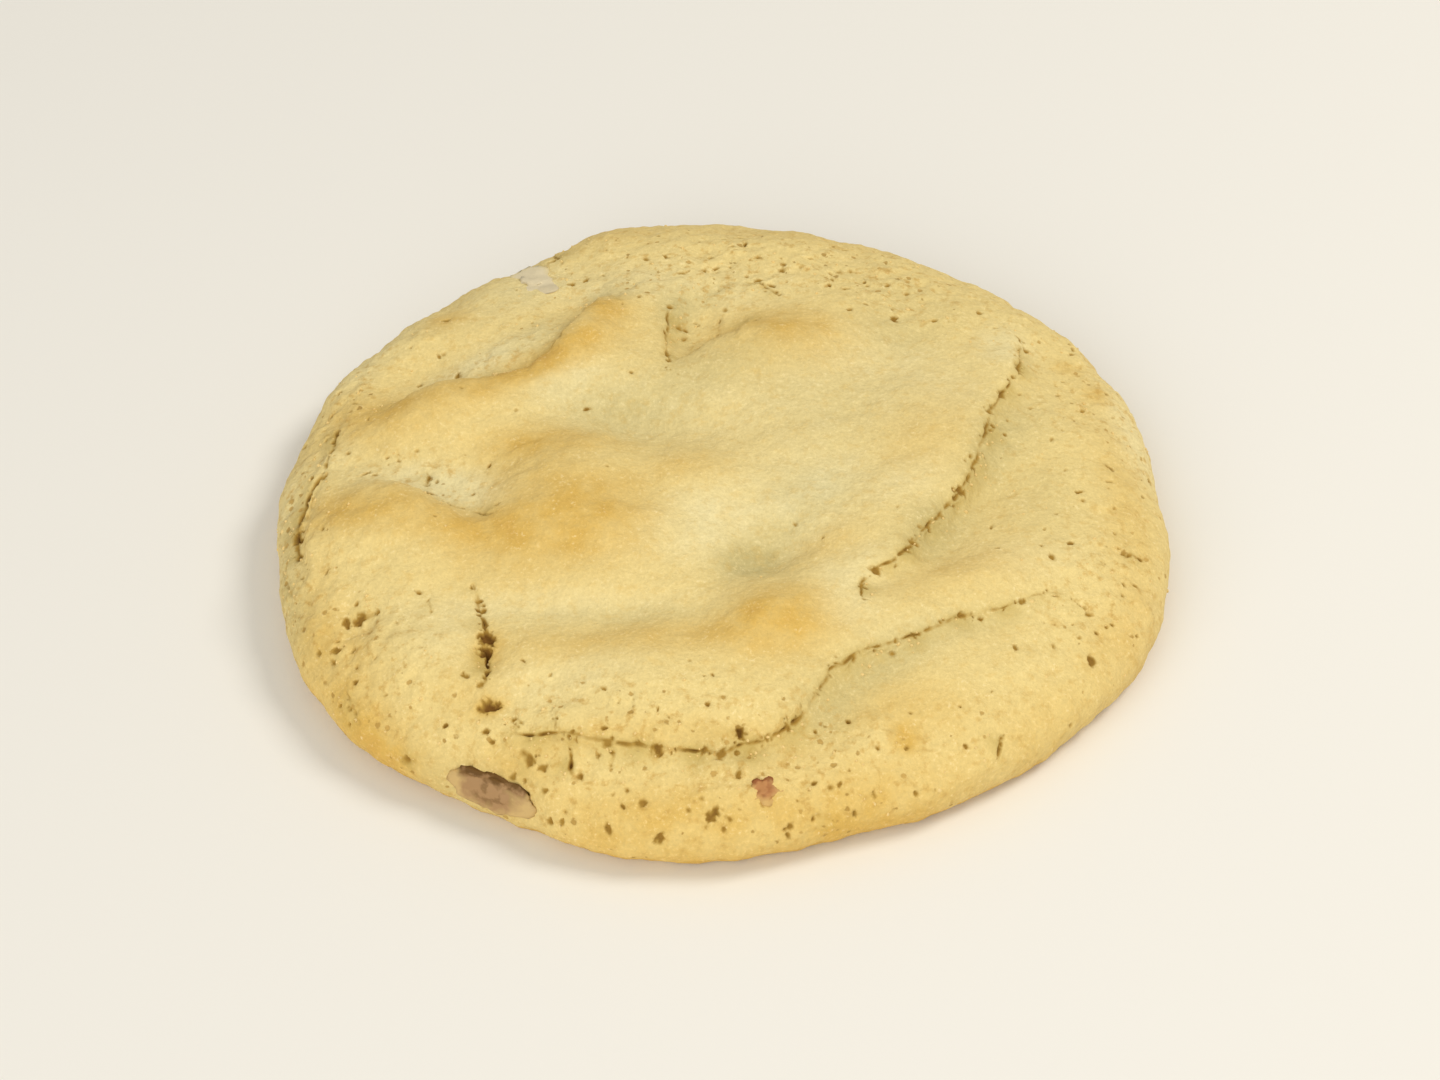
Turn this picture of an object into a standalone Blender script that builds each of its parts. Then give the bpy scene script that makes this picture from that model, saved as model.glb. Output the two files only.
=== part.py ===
"""A soft baked cookie with a folded, cracked top, made as one solid.

The cookie is a low dome turned on an uneven round outline. Its top carries named
mounds, hollows and cracks, and three pieces of filling show at its edge. All sizes
are in millimetres until the mesh is made. +X is right, +Y is the back, +Z is up,
and the origin is under the middle of the cookie, on the surface that it rests on.
"""

import math

import bmesh
import bpy
import numpy as np
from mathutils import Vector, geometry, noise

MM = 0.001

# Driving sizes of the dome
MEAN_RADIUS = 47.3
DOME_HEIGHT = 12.2
EDGE_HEIGHT = 3.8      # the widest line of the edge above the base
BASE_INSET = 2.6       # the flat base lies this far inside the widest line

# The outline swells and shrinks in a few waves: how many round it, size, direction in degrees
OUTLINE_WAVES = ((1, 0.54, -107), (3, 0.52, -24), (5, 0.32, 29), (6, 0.44, -28))
# Places where the outline bulges or nicks: direction, size, half width in degrees
OUTLINE_LUMPS = ((105, 2.2, 6.5), (62, 0.9, 9), (31, -0.6, 4), (-36, -1.0, 8), (-75, -0.5, 6),
                 (-101, 0.7, 9), (-131, -0.9, 7))

# Mesh: corners lie on the cracks' lines and shoulders, and on an even lattice between them
LATTICE_SPACING = 1.55
BASE_CORNERS = 180
CRACK_STEP = 1.3
CLEAR_OF_LINE = 0.62   # shares of the lattice spacing that corners keep to earlier ones
CLEAR_OF_SHOULDER = 0.62

# Mounds and hollows of the top: middle, height, length and width of the slope, turn in degrees
MOUNDS = {
    "middle mound": dict(at=(-15.5, -3.0), height=2.2, reach=(8.0, 6.5), turn=65),
    "middle mound foot": dict(at=(-10.0, -12.0), height=1.3, reach=(9.0, 6.0), turn=30),
    "left lobe": dict(at=(-35.0, -8.5), height=2.0, reach=(8.5, 6.0), turn=-25),
    "lower left lobe": dict(at=(-31.0, -27.0), height=1.2, reach=(7.0, 5.0), turn=-40),
    "upper left ridge": dict(at=(-28.0, 9.0), height=1.6, reach=(12.0, 3.8), turn=18),
    "upper left ridge end": dict(at=(-13.0, 21.5), height=2.1, reach=(8.0, 3.2), turn=60),
    "top lobe": dict(at=(7.0, 19.0), height=1.6, reach=(10.0, 4.5), turn=8),
    "front crest": dict(at=(4.5, -24.5), height=2.2, reach=(6.0, 3.8), turn=25),
    "front crest tail": dict(at=(-11.0, -29.5), height=1.2, reach=(11.0, 4.0), turn=-4),
    "centre swell": dict(at=(-3.0, -2.5), height=1.0, reach=(5.0, 4.0), turn=0),
    "right lobe": dict(at=(24.0, -19.0), height=1.3, reach=(9.0, 3.3), turn=24),
    "plateau edge": dict(at=(21.0, 1.0), height=0.7, reach=(16.0, 5.0), turn=62),
    "front lip": dict(at=(-5.0, -34.5), height=0.8, reach=(14.0, 3.5), turn=0),
    "back rim": dict(at=(0.0, 38.0), height=0.9, reach=(18.0, 4.0), turn=-3),
    "back left rim": dict(at=(-31.0, 26.0), height=0.8, reach=(12.0, 4.0), turn=42),
    "dimple": dict(at=(4.0, -14.6), height=-2.9, reach=(5.5, 3.2), turn=35),
    "long hollow": dict(at=(-9.0, 6.8), height=-2.4, reach=(9.5, 3.6), turn=-10),
    "right valley": dict(at=(27.0, -8.0), height=-1.3, reach=(11.0, 4.0), turn=58),
    "below the front lip": dict(at=(12.5, -35.0), height=-1.0, reach=(5.0, 2.8), turn=40),
    "back right dip": dict(at=(23.0, 17.0), height=-0.8, reach=(8.0, 6.0), turn=0),
    "valley floor": dict(at=(-2.2, 23.0), height=-2.0, reach=(5.0, 2.8), turn=80),
    "left furrow": dict(at=(-26.5, -2.0), height=-2.2, reach=(5.5, 4.0), turn=-30),
    "front trough": dict(at=(-10.0, -22.5), height=-1.0, reach=(10.0, 2.8), turn=-6),
    "outer band": dict(at=(-27.0, 19.0), height=-0.8, reach=(10.0, 3.0), turn=28),
}

# Cracks: the ground on the left of the route stands higher by the rise, and SIDE_REACH is how
# far from the crack that fades
SIDE_REACH = 5.0
END_TAPER = 4.0
CRACKS = {
    "long right crack": dict(
        route=((14, -22.6), (14.3, -20.3), (15.5, -18.5), (18.9, -16.5), (20, -13.1), (22.8, -9.9),
               (24.7, -6.8), (25.9, -4.9), (28.2, 1.8), (28.7, 5.7), (30.4, 8.8), (32.3, 12.5),
               (33.8, 18.5), (34.1, 23.6)),
        depth=1.5, width=1.05, rise=2.3),
    "front lip crack": dict(
        route=((-20.4, -35.8), (-18, -37.6), (-15.4, -38.7), (-8.9, -39.9), (-0.4, -41),
               (5.7, -38.7), (8.2, -36), (10.1, -32.2), (14.1, -28.9), (19.1, -27.1),
               (24, -24.4), (30.7, -21.5)),
        depth=1.4, width=1.1, rise=2.1),
    "left crack": dict(
        route=((-24.8, -17.1), (-24.6, -21), (-23.5, -25.6), (-23.3, -29), (-23.7, -31.4)),
        depth=2.0, width=1.1, rise=0.3),
    "left edge gap": dict(
        route=((-41.4, 2), (-42.3, -0.8), (-43.5, -5), (-43.3, -9), (-42.3, -13.2)),
        depth=2.4, width=1.2, rise=1.0),
    "left furrow crack": dict(
        route=((-23.2, -9.1), (-25.6, -8.3), (-29.6, -6), (-31.6, -3.4), (-37.5, -0.6)),
        depth=1.0, width=1.1, rise=2.2),
    "upper left step": dict(
        route=((-9.6, 25.6), (-11.6, 27), (-13.4, 27.2), (-14.8, 23), (-16.8, 18.6), (-20.4, 15),
               (-25, 13.6), (-31.4, 13.4), (-36.5, 10.5)),
        depth=0.7, width=1.2, rise=2.2),
    "top valley crack": dict(
        route=((-4.8, 13.4), (-5.2, 18), (-4.8, 25.4)),
        depth=1.2, width=1.1, rise=1.2),
    "top valley branch": dict(
        route=((6, 22.6), (-0.7, 18.9), (-4.9, 16.2)),
        depth=0.8, width=1.1, rise=2.0),
    "top crack": dict(
        route=((3.4, 30), (5.6, 29.2), (7.4, 26.6)),
        depth=1.0, width=1.0, rise=0.0),
    "back notch": dict(
        route=((-16.6, 36.5), (-17.6, 40), (-18.1, 43.6)),
        depth=1.2, width=1.1, rise=-1.0),
}

# Deeper places along the cracks and at the edge: middle, depth, half width
HOLES = {
    "left crack hole": dict(at=(-23.4, -27.4), depth=1.6, width=1.7),
    "left side hole": dict(at=(-36.6, -20.6), depth=1.8, width=1.6),
    "front lip nick": dict(at=(1.2, -39.4), depth=1.1, width=1.6),
}

# Filling that shows at the edge: a lump in a hollow, both by the side's direction in degrees,
# the height above the base, and half sizes along the edge and across it
FILLINGS = {
    "pale lump": dict(direction=116.0, height=8.0, out=0.9, half=(3.0, 2.4), hollow=0.7),
    "dark lump": dict(direction=-120.5, height=4.6, out=1.7, half=(3.2, 1.8), hollow=2.6),
    "front chip": dict(direction=-85.0, height=8.0, out=0.5, half=(1.7, 1.3), hollow=0.6),
}
HOLLOW_OVER_LUMP = 1.7   # how much wider the hollow is than the lump in it

# Uneven dough: height of the unevenness and the distance between its lumps
DOUGH_HEIGHT = 0.6
DOUGH_SPACING = 7.0
FOOT_FADE = 1.6          # relief fades out over this height above the base

CRUST_COLOUR = (0.76, 0.52, 0.21, 1.0)
CRUST_ROUGHNESS = 0.8


def outline(direction):
    """Distance from the middle to the widest line in a direction in radians."""
    radius = np.full_like(direction, MEAN_RADIUS)
    for count, size, peak in OUTLINE_WAVES:
        radius += size * np.cos(count * (direction - math.radians(peak)))
    for peak, size, half_width in OUTLINE_LUMPS:
        away = np.angle(np.exp(1j * (direction - math.radians(peak))))
        radius += size * np.exp(-(away / math.radians(half_width)) ** 2)
    return radius


def section(turn):
    """Share of the radius and height at a turn: 0 at the crown, pi / 2 at the edge, pi at the base."""
    inset = BASE_INSET / MEAN_RADIUS
    upper = turn <= math.pi / 2
    rise = np.where(upper, DOME_HEIGHT - EDGE_HEIGHT, EDGE_HEIGHT)
    sine = np.clip(np.sin(turn), 0, 1)
    share = np.where(upper, np.sqrt(sine), 1 - inset * (1 - sine))
    return share, EDGE_HEIGHT + rise * np.cos(turn)


def section_length():
    """Turns down the section and how long the section is up to each."""
    turn = np.linspace(0, math.pi, 4001)
    share, height = section(turn)
    pieces = np.hypot(np.diff(share * MEAN_RADIUS), np.diff(height))
    return turn, np.concatenate(([0], np.cumsum(pieces)))


def surface(direction, turn):
    """Points of the plain dome and the way out of it there."""
    share, height = section(turn)
    radius = share * outline(direction)
    upper = turn <= math.pi / 2
    sine = np.clip(np.sin(turn), 0, 1)
    outward = np.where(upper, (DOME_HEIGHT - EDGE_HEIGHT) * sine ** 1.5, EDGE_HEIGHT * sine)
    upward = np.where(upper, MEAN_RADIUS / 2, BASE_INSET) * np.cos(turn)
    length = np.hypot(outward, upward)
    across = np.stack([np.cos(direction), np.sin(direction)], -1)
    point = np.column_stack([across * radius[:, None], height])
    normal = np.column_stack([across * (outward / length)[:, None], upward / length])
    return point, normal


def to_route(points, route):
    """Nearest point of a route, signed distance to it (left is positive) and how far along it lies."""
    route = np.array(route, float)
    start, step = route[:-1], np.diff(route, axis=0)
    length = np.hypot(*step.T)
    offset = points[:, None] - start
    share = np.clip((offset * step).sum(-1) / length ** 2, 0, 1)
    nearest = start + share[..., None] * step
    distance = np.hypot(*np.moveaxis(points[:, None] - nearest, -1, 0))
    pick = distance.argmin(1)
    row = np.arange(len(points))
    side = np.sign(step[:, 0] * offset[..., 1] - step[:, 1] * offset[..., 0])[row, pick]
    along = (np.cumsum(length) - length)[pick] + share[row, pick] * length[pick]
    taper = np.clip(np.minimum(along, length.sum() - along) / END_TAPER, 0, 1)
    return nearest[row, pick], side * distance[row, pick], taper


def even_steps(route):
    """Points about CRACK_STEP apart along a route, and the way to the left of it at each."""
    route = np.array(route, float)
    length = np.concatenate(([0], np.cumsum(np.hypot(*np.diff(route, axis=0).T))))
    at = np.linspace(0, length[-1], round(length[-1] / CRACK_STEP) + 1)
    points = np.column_stack([np.interp(at, length, route[:, axis]) for axis in (0, 1)])
    ahead = np.gradient(points, axis=0)
    left = np.column_stack([-ahead[:, 1], ahead[:, 0]]) / np.hypot(*ahead.T)[:, None]
    return points, left


def flatten(plan, turns, lengths):
    """Lay points seen from above out flat, as if the dome's skin were peeled off."""
    direction = np.arctan2(plan[:, 1], plan[:, 0])
    share = np.clip(np.hypot(*plan.T) / outline(direction), 0, 1)
    out = np.interp(np.arcsin(share ** 2), turns, lengths)
    return np.column_stack([out * np.cos(direction), out * np.sin(direction)])


def clear_of(points, placed, gap):
    """The points that lie further than the gap from all those placed before."""
    apart = np.hypot(*np.moveaxis(points[:, None] - placed, -1, 0)).min(1)
    return points[apart > gap]


def corners_and_faces():
    """Directions and turns of all corners, the triangles between them, and the base's edge."""
    turns, lengths = section_length()
    reach = lengths[-1]
    ring = np.arange(BASE_CORNERS) * 2 * math.pi / BASE_CORNERS
    placed = [reach * np.column_stack([np.cos(ring), np.sin(ring)])]
    edges = []
    shoulders = []
    first = BASE_CORNERS
    for crack in CRACKS.values():
        points, left = even_steps(crack["route"])
        placed.append(flatten(points, turns, lengths))
        edges += [(first + i, first + i + 1) for i in range(len(points) - 1)]
        first += len(points)
        for side in (1, -1):
            shoulders.append(flatten(points[1:-1] + side * crack["width"] * left[1:-1], turns, lengths))
    for shoulder in shoulders:
        placed.append(clear_of(shoulder, np.concatenate(placed), CLEAR_OF_SHOULDER * LATTICE_SPACING))

    across = np.arange(-math.ceil(reach / LATTICE_SPACING), math.ceil(reach / LATTICE_SPACING) + 1)
    rows = np.arange(-math.ceil(reach / LATTICE_SPACING * 1.2), math.ceil(reach / LATTICE_SPACING * 1.2) + 1)
    x, y = np.meshgrid(across, rows)
    lattice = np.column_stack([(x + 0.5 * (y % 2)).ravel(), (y * math.sqrt(3) / 2).ravel()]) * LATTICE_SPACING
    lattice = lattice[np.hypot(*lattice.T) < reach]
    placed.append(clear_of(lattice, np.concatenate(placed), CLEAR_OF_LINE * LATTICE_SPACING))

    flat = [Vector(place) for place in np.concatenate(placed)]
    found = geometry.delaunay_2d_cdt(flat, edges, [], 0, 1e-5)
    corners = np.array([tuple(place) for place in found[0]])
    out = np.hypot(*corners.T)
    base_edge = [i for i in range(len(corners)) if out[i] > reach - 1e-3]
    base_edge.sort(key=lambda i: math.atan2(corners[i, 1], corners[i, 0]))
    direction = np.arctan2(corners[:, 1], corners[:, 0])
    return direction, np.interp(out, lengths, turns), found[2], base_edge


def slope(points, at, reach, turn=0.0):
    """A soft round hill of height 1."""
    angle = math.radians(turn)
    x, y = points[:, 0] - at[0], points[:, 1] - at[1]
    along = (x * math.cos(angle) + y * math.sin(angle)) / reach[0]
    across = (y * math.cos(angle) - x * math.sin(angle)) / reach[1]
    return np.exp(-(along ** 2 + across ** 2))


def side_slope(point, direction, filling, scale):
    """A soft hill of height 1 on the edge, at a direction and a height above the base."""
    away = np.angle(np.exp(1j * (direction - math.radians(filling["direction"])))) * MEAN_RADIUS
    up = point[:, 2] - filling["height"]
    along, across = filling["half"]
    return np.exp(-((away / along / scale) ** 2 + (up / across / scale) ** 2) ** 2)


def relief(point, direction):
    """How far the real surface stands out from the plain dome."""
    plan = point[:, :2]
    height = np.zeros(len(point))
    for mound in MOUNDS.values():
        height += mound["height"] * slope(plan, mound["at"], mound["reach"], mound["turn"])
    for crack in CRACKS.values():
        _, distance, taper = to_route(plan, crack["route"])
        gap = np.abs(distance)
        step = np.clip(distance / crack["width"], -1, 1) * np.exp(-gap / SIDE_REACH)
        height += taper * crack["rise"] / 2 * step
        height -= taper * crack["depth"] * np.clip(1 - gap / crack["width"], 0, 1)
    for hole in HOLES.values():
        height -= hole["depth"] * slope(plan, hole["at"], (hole["width"], hole["width"]))
    for filling in FILLINGS.values():
        height -= filling["hollow"] * side_slope(point, direction, filling, HOLLOW_OVER_LUMP)
        height += filling["out"] * side_slope(point, direction, filling, 1)
    dough = [noise.noise(Vector(place) / DOUGH_SPACING) for place in point]
    height += DOUGH_HEIGHT * np.array(dough)
    return height * np.clip(point[:, 2] / FOOT_FADE, 0, 1)


def crust():
    """Baked dough: dull, golden and rough."""
    material = bpy.data.materials.new("baked_dough")
    material.use_nodes = True
    shader = material.node_tree.nodes["Principled BSDF"]
    shader.inputs["Base Color"].default_value = CRUST_COLOUR
    shader.inputs["Roughness"].default_value = CRUST_ROUGHNESS
    shader.inputs["Metallic"].default_value = 0.0
    return material


def cookie():
    """The whole cookie as one closed body, centred over the origin."""
    direction, turn, triangles, base_edge = corners_and_faces()
    point, normal = surface(direction, turn)
    point += normal * relief(point, direction)[:, None]
    middle = (point.min(0) + point.max(0)) / 2
    point -= (middle[0], middle[1], 0)

    bm = bmesh.new()
    corners = [bm.verts.new(Vector(place) * MM) for place in point]
    for triangle in triangles:
        bm.faces.new([corners[i] for i in triangle])
    bm.faces.new([corners[i] for i in reversed(base_edge)])
    bmesh.ops.triangulate(bm, faces=[face for face in bm.faces if len(face.verts) > 4])
    mesh = bpy.data.meshes.new("cookie")
    bm.to_mesh(mesh)
    bm.free()
    mesh.shade_smooth()
    mesh.materials.append(crust())
    obj = bpy.data.objects.new("cookie", mesh)
    bpy.context.scene.collection.objects.link(obj)
    return obj


for old in list(bpy.data.objects):
    bpy.data.objects.remove(old, do_unlink=True)
cookie()
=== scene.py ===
"""The looks of a soft baked cookie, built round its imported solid.

Sizes are in millimetres where a name doesn't say otherwise, and become metres
when a mesh is written. Plan places are measured from the cookie's middle, with
+X to the right and +Y to the back.
"""

import math
import random

import bmesh
import bpy
import numpy as np
from mathutils import Matrix, Vector, bvhtree, geometry, kdtree, noise


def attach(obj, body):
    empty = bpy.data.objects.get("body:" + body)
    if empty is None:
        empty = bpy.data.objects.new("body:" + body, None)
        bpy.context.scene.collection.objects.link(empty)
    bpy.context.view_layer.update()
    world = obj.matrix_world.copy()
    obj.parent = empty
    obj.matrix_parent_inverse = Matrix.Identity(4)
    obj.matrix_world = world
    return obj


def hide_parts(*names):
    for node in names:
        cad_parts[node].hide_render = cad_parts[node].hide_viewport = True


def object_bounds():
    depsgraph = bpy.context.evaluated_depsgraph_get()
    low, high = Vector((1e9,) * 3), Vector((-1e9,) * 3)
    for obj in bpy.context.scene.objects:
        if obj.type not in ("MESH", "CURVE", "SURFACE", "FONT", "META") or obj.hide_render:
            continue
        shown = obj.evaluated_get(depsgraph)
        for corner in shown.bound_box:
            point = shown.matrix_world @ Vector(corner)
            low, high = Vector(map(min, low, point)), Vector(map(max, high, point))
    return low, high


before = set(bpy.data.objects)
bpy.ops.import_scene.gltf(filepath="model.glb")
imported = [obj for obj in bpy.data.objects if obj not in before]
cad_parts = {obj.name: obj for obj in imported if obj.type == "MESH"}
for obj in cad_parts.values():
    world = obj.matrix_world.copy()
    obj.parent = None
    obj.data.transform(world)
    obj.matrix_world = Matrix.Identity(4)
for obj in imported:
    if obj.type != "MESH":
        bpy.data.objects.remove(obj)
cad_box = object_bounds()

# Camera
# It stands where the photograph's did, above the front edge, with a lens that brings the cookie
# nearer. It comes before the dough, whose cracks and pits are given as places in its picture.
MM = 0.001
CAMERA_PLACE = (-0.82, -300.72, 274.13)
CAMERA_PITCH = 44.715
CAMERA_ROLL = -1.773
PHOTO_WIDTH = 1440
PHOTO_HEIGHT = 1080
PHOTO_FIELD = 45.0
AIM_PIXEL = (721, 467)
CLOSER = 2.2
SENSOR_MM = 36.0


def new_object(name, data):
    """A new object in the scene, at the origin and unscaled."""
    made = bpy.data.objects.new(name, data)
    bpy.context.scene.collection.objects.link(made)
    return made


pitch = math.radians(CAMERA_PITCH)
roll = math.radians(CAMERA_ROLL)
ahead = Vector((0, math.cos(pitch), -math.sin(pitch)))
level = Vector((1, 0, 0))
upward = level.cross(ahead)
right = math.cos(roll) * level + math.sin(roll) * upward
over = math.cos(roll) * upward - math.sin(roll) * level
focal_pixels = PHOTO_WIDTH / 2 / math.tan(math.radians(PHOTO_FIELD / 2))
aim = (ahead * focal_pixels + right * (AIM_PIXEL[0] - PHOTO_WIDTH / 2)
       + over * (PHOTO_HEIGHT / 2 - AIM_PIXEL[1])).normalized()
right = (right - right.dot(aim) * aim).normalized()
over = right.cross(aim)
camera_data = bpy.data.cameras.new("camera")
camera_data.sensor_width = SENSOR_MM
camera_data.lens = SENSOR_MM * focal_pixels / PHOTO_WIDTH * CLOSER
camera_data.clip_start = 0.01
camera = new_object("camera", camera_data)
camera.matrix_world = (Matrix.Translation(Vector(CAMERA_PLACE) * MM)
                       @ Matrix((right, over, -aim)).transposed().to_4x4())
bpy.context.scene.camera = camera

# Baked dough
# One scoop of soft dough that spread and folded as it baked. It is one piece of crust and crumb,
# copied from the solid, cut finer, and given its narrow cracks, torn pits and grain.
DOME_RADIUS = 47.5
RELIEF_FROM = 2.5      # relief and cuts start this high above the base
RIM_FADE = 0.15        # sideways shifts fade out over this share of the radius at the rim
FOOT_HEIGHT = 0.05     # skin below this is the foot's edge
GRAIN_FROM = 0.4       # the dough's grain starts this high above the base
CUTS_FACE_UP = 0.05    # slits and pits are cut where the skin faces up at least this much
SKIN_SHIFT = (-0.31, 0.35)    # moves the solid's folds to where these tables have them
FINE_CUTS = 2
FINE_BESIDE_SLITS = 0.5
FINE_ROUND_PITS = 0.25
BASE_LATTICE = 2.4     # spacing of the flat net that closes the underside
NET_MARGIN = 1.2       # rows of the net lie closer than its columns, so more are laid
SMOOTHING_ROUNDS = 26
SMOOTHING = 0.5
CRISP_REACH = (0.4, 1.3)     # how far a crack's step stays crisp, to its left and its right
SEED = 11

# Enlarged crops of the camera's picture: left and top edge in the picture's pixels, and how much
# each was enlarged
CROPS = {
    "left": (180, 200, 4), "right": (560, 180, 4), "top": (360, 150, 3.8), "front": (200, 440, 3.2),
    "left half": (180, 330, 3), "right half": (520, 330, 3),
}
PICTURE_WIDTH = 1024
PICTURE_HEIGHT = 768
PIXELS_PER_MM = 6.68    # in the camera's picture, at the cookie

# Cracks that lie in the solid's grooves: the groove's route, depth and half width, how far the lip
# on its left leans over it and how crisp its step stays, then half width and depth of the open slit
# and pits torn per millimetre. A line is the slit's own route where that strays from the groove's,
# as a crop and places in it.
CRACKS = {
    "long right crack": dict(
        route=((14, -22.6), (14.3, -20.3), (15.5, -18.5), (18.9, -16.5), (20, -13.1), (22.8, -9.9),
               (24.7, -6.8), (25.9, -4.9), (28.2, 1.8), (28.7, 5.7), (30.4, 8.8), (32.3, 12.5),
               (33.8, 18.5), (34.1, 23.6)),
        groove=(1.5, 1.05), lean=0.30, crisp=0.35, slit=0.09, depth=0.45, pits=1.15,
        line=("right", (213, 980), (220, 933), (260, 893), (307, 880), (353, 840), (373, 793),
              (440, 733), (487, 673), (538, 570), (568, 520), (572, 460), (614, 403), (655, 350),
              (672, 250))),
    "front lip crack": dict(
        route=((-20.4, -35.8), (-18, -37.6), (-15.4, -38.7), (-8.9, -39.9), (-0.4, -41),
               (5.7, -38.7), (8.2, -36), (10.1, -32.2), (14.1, -28.9), (19.1, -27.1),
               (24, -24.4), (30.7, -21.5)),
        groove=(1.4, 1.1), lean=0.35, crisp=0.80, slit=0.09, depth=0.45, pits=0.9,
        line=("front", (530, 235), (545, 240), (535, 258), (600, 268), (700, 270), (790, 292),
              (900, 300), (1005, 302), (1048, 277), (1093, 280), (1152, 240), (1185, 225),
              (1210, 195))),
    "left crack": dict(
        route=((-24.8, -17.1), (-24.6, -21), (-23.5, -25.6), (-23.3, -29), (-23.7, -31.4)),
        groove=(2.0, 1.1), lean=0.00, crisp=0.50, slit=0.15, depth=0.75, pits=1.50),
    "left edge gap": dict(
        route=((-41.4, 2), (-42.3, -0.8), (-43.5, -5), (-43.3, -9), (-42.3, -13.2)),
        groove=(2.4, 1.2), lean=0.40, crisp=0.90, slit=0.30, depth=1.40, pits=0.50,
        line=("left", (202, 552), (160, 624), (144, 667), (133, 720), (128, 767), (133, 820))),
    "left furrow crack": dict(
        route=((-23.2, -9.1), (-25.6, -8.3), (-29.6, -6), (-31.6, -3.4), (-37.5, -0.6)),
        groove=(1.0, 1.1), lean=0.40, crisp=0.60, slit=0.09, depth=0.40, pits=0.50,
        line=("left", (686, 670), (667, 673), (635, 670), (614, 666), (585, 664), (545, 650),
              (506, 630))),
    "upper left step": dict(
        route=((-9.6, 25.6), (-11.6, 27), (-13.4, 27.2), (-14.8, 23), (-16.8, 18.6), (-20.4, 15),
               (-25, 13.6), (-31.4, 13.4), (-36.5, 10.5)),
        groove=(0.7, 1.2), lean=0.45, crisp=0.60, slit=0.08, depth=0.20, pits=0.15),
    "top valley crack": dict(
        route=((-4.8, 13.4), (-5.2, 18), (-4.8, 25.4)),
        groove=(1.2, 1.1), lean=0.20, crisp=0.60, slit=0.11, depth=0.50, pits=0.60),
    "top valley branch": dict(
        route=((6, 22.6), (-0.7, 18.9), (-4.9, 16.2)),
        groove=(0.8, 1.1), lean=0.40, crisp=0.80, slit=0.08, depth=0.30, pits=0.20),
    "top crack": dict(
        route=((3.4, 30), (5.6, 29.2), (7.4, 26.6)),
        groove=(1.0, 1.0), lean=0.00, crisp=0.30, slit=0.15, depth=0.50, pits=0.90),
    "back notch": dict(
        route=((-16.6, 36.5), (-17.6, 40), (-18.1, 43.6)),
        groove=(1.2, 1.1), lean=0.00, crisp=0.60, slit=0.18, depth=0.60, pits=0.30),
}
GROOVE_CLOSED = 0.85   # share of the solid's grooves that is dough here
GROOVE_TAPER = 4.0

# Narrow tears the solid leaves out: a crop and the route in it, half width, depth, and pits per
# millimetre
TEARS = {
    "front lip, right part": (
        ("right half", (175, 515), (205, 470), (212, 430), (240, 410), (290, 385), (345, 375),
         (400, 360), (450, 345), (495, 318), (550, 318), (590, 300), (625, 285)), 0.08, 0.38, 1.0),
    "right lip end": (
        ("right", (673, 980), (700, 970), (750, 960), (800, 975), (862, 1015)), 0.1, 0.25, 0.7),
    "lip nick one": (("front", (626, 212), (621, 269)), 0.11, 0.5, 0.8),
    "lip nick two": (("front", (752, 268), (750, 342)), 0.11, 0.5, 0.8),
    "lip nick three": (("front", (1150, 200), (1152, 273)), 0.11, 0.5, 0.8),
    "lip notch": (("front", (1045, 230), (1049, 275)), 0.32, 0.8, 0.5),
    "tear below the lip": (("left half", (680, 620), (676, 644), (682, 666)), 0.17, 0.7, 1.0),
    "pit row below the lip": (("left half", (571, 608), (604, 636)), 0.3, 0.75, 1.5),
    "left edge line": (("left", (250, 415), (235, 450), (220, 495), (200, 545)), 0.16, 0.5, 0.3),
    "left furrow tear": (("left half", (372, 15), (370, 45), (372, 78)), 0.1, 0.4, 1.4),
    "side tear": (("left", (345, 938), (325, 948), (303, 968), (265, 965)), 0.28, 0.8, 1.5),
    "left lower tear": (("left half", (372, 285), (380, 302), (376, 321)), 0.1, 0.3, 0.8),
    "edge dashes": (("left half", (190, 470), (205, 500), (215, 525), (231, 555)), 0.1, 0.3, 0.8),
    "left rim arc": (("left", (85, 820), (95, 860), (112, 900)), 0.1, 0.25, 0.3),
    "left foot tear": (("front", (262, 312), (312, 322)), 0.07, 0.3, 0.3),
    "right slot": (("right half", (835, 200), (860, 185)), 0.2, 0.6, 0.4),
    "right slot two": (("right", (921, 1048), (904, 1086)), 0.16, 0.5, 1.0),
    "right dash": (("right", (874, 865), (910, 880)), 0.13, 0.35, 0.6),
    "back dash": (("right", (440, 175), (457, 198)), 0.12, 0.3, 0.5),
    "front dash": (("right half", (170, 742), (205, 752), (235, 745)), 0.14, 0.35, 0.8),
    "front right tear": (("right half", (578, 567), (570, 625), (562, 657)), 0.14, 0.4, 1.2),
    "lid over the dark filling": (
        ("front", (395, 345), (420, 352), (445, 357), (472, 370), (498, 382), (518, 398), (530, 412)),
        0.2, 0.45, 0),
}
END_TAPER = 1.2

# How open a slit is along its way, how beaded and how wide: mean, swing, spacing, least and most
OPENED = (0.65, 0.75, 2.6, 0.1, 1.1)
BEADED = (0.8, 0.9, 0.8, 0.2, 1.25)
WIDENED = (0.9, 0.6, 1.1, 0.5, 1.5)
SLIT_ROUNDING = 0.06   # added to every slit's half width, so that the mesh can show it
SLIT_FLOOR = 1.15      # above 1, a slit has a narrow flat floor
SLIT_REACH = 3.0       # nothing of a slit or its shade is further from its line
SLIT_APART = 7.3       # keeps each slit's noise apart from the next one's
SEAM_REACH = (1.5, 0.4)    # how far a seam's shade spreads to the right of its slit and to the left
SEAM_DEPTH = 0.5       # a slit this deep has its full shade

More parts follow.
